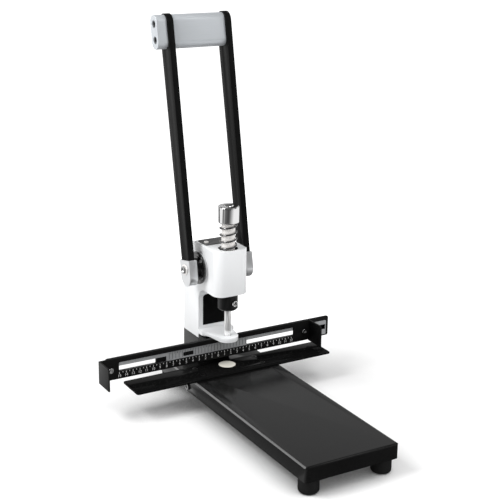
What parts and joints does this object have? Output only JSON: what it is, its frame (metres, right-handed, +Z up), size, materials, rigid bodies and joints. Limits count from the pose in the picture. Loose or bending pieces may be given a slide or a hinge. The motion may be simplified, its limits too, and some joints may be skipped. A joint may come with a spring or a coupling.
{
  "type": "hole_punch",
  "caption": "Heavy duty desk hole punch with a long double-arm lever, white cast head, hollow punch on a spring-loaded spindle and a sliding back gauge on a black base",
  "frame": {"origin": "On the table top, under the middle of the object's bounding box with the lever up", "axes": "+Z up, +X to the user's right along the gauge, -Y towards the user and the front of the base"},
  "size_m": [0.364, 0.4152, 0.5164],
  "materials": {
    "white_coat": "gloss powder coat",
    "black_coat": "satin powder coat",
    "dark_grey": "satin",
    "light_grey": "satin",
    "silver": "satin anodised",
    "bright_steel": "polished",
    "steel": "machined",
    "black_steel": "black oxide",
    "black_plastic": "gloss",
    "rubber": "matt",
    "nylon": "matt",
    "bronze": "sintered"
  },
  "bodies": {
    "frame": {"base_plate": "black_coat", "rubber_feet": "rubber", "foot_screws": "steel", "support_bar": "steel", "side_screws": "bright_steel", "cutting_disc": "nylon", "paper_table": "black_coat", "table_screws": "steel", "riser": "black_coat", "column_bolts": "steel", "frame_casting": "white_coat", "throat_panel": "black_coat", "top_cover": "dark_grey", "cover_screws": "bright_steel", "rear_cover": "black_coat", "rear_screws": "steel", "lower_bush": "bronze", "upper_bush": "bronze", "pivot_bush_left": "bronze", "pivot_bush_right": "bronze", "rail_bracket": "black_coat", "bracket_screws": "steel", "gauge_rail": "black_coat", "scale_strip": "dark_grey", "rail_screws": "steel", "rail_end_cap": "black_plastic", "return_spring": "bright_steel"},
    "lever": {"pivot_shaft": "steel", "pinion": "steel", "pinion_pin": "steel", "hub_left": "black_plastic", "hub_right": "black_plastic", "arm_end_left": "light_grey", "arm_end_right": "light_grey", "lever_arm_left": "black_coat", "lever_arm_right": "black_coat", "grip_bar": "silver", "grip_end_block": "silver", "grip_screws_left": "black_steel", "grip_screws_right": "black_steel", "pivot_washers": "bright_steel", "pivot_screws": "bright_steel"},
    "spindle": {"spindle": "bright_steel", "spindle_cap": "bright_steel", "punch_holder": "black_plastic", "clamp_screw": "bright_steel", "punch_tube": "bright_steel"},
    "gauge": {"gauge_plate": "black_coat", "gauge_clamp_screws": "bright_steel", "gauge_clamp_nuts": "steel"}
  },
  "joints": [
    {"name": "lever_hinge", "type": "hinge", "parent": "frame", "child": "lever", "pos_m": [0.0055, 0.13088, 0.1785], "axis": [1, 0, 0], "range_deg": [0, 77.6]},
    {"name": "spindle_slide", "type": "slide", "parent": "frame", "child": "spindle", "axis": [0, 0, -1], "range_m": [0, 0.0339], "stiffness_N_per_m": 2000, "springref_m": -0.02, "deforming": ["return_spring"]},
    {"name": "gauge_slide", "type": "slide", "parent": "frame", "child": "gauge", "axis": [1, 0, 0], "range_m": [0, 0.036]}
  ],
  "couplings": [
    {"joint": "spindle_slide", "follows": "lever_hinge", "m_per_rad": 0.025}
  ]
}
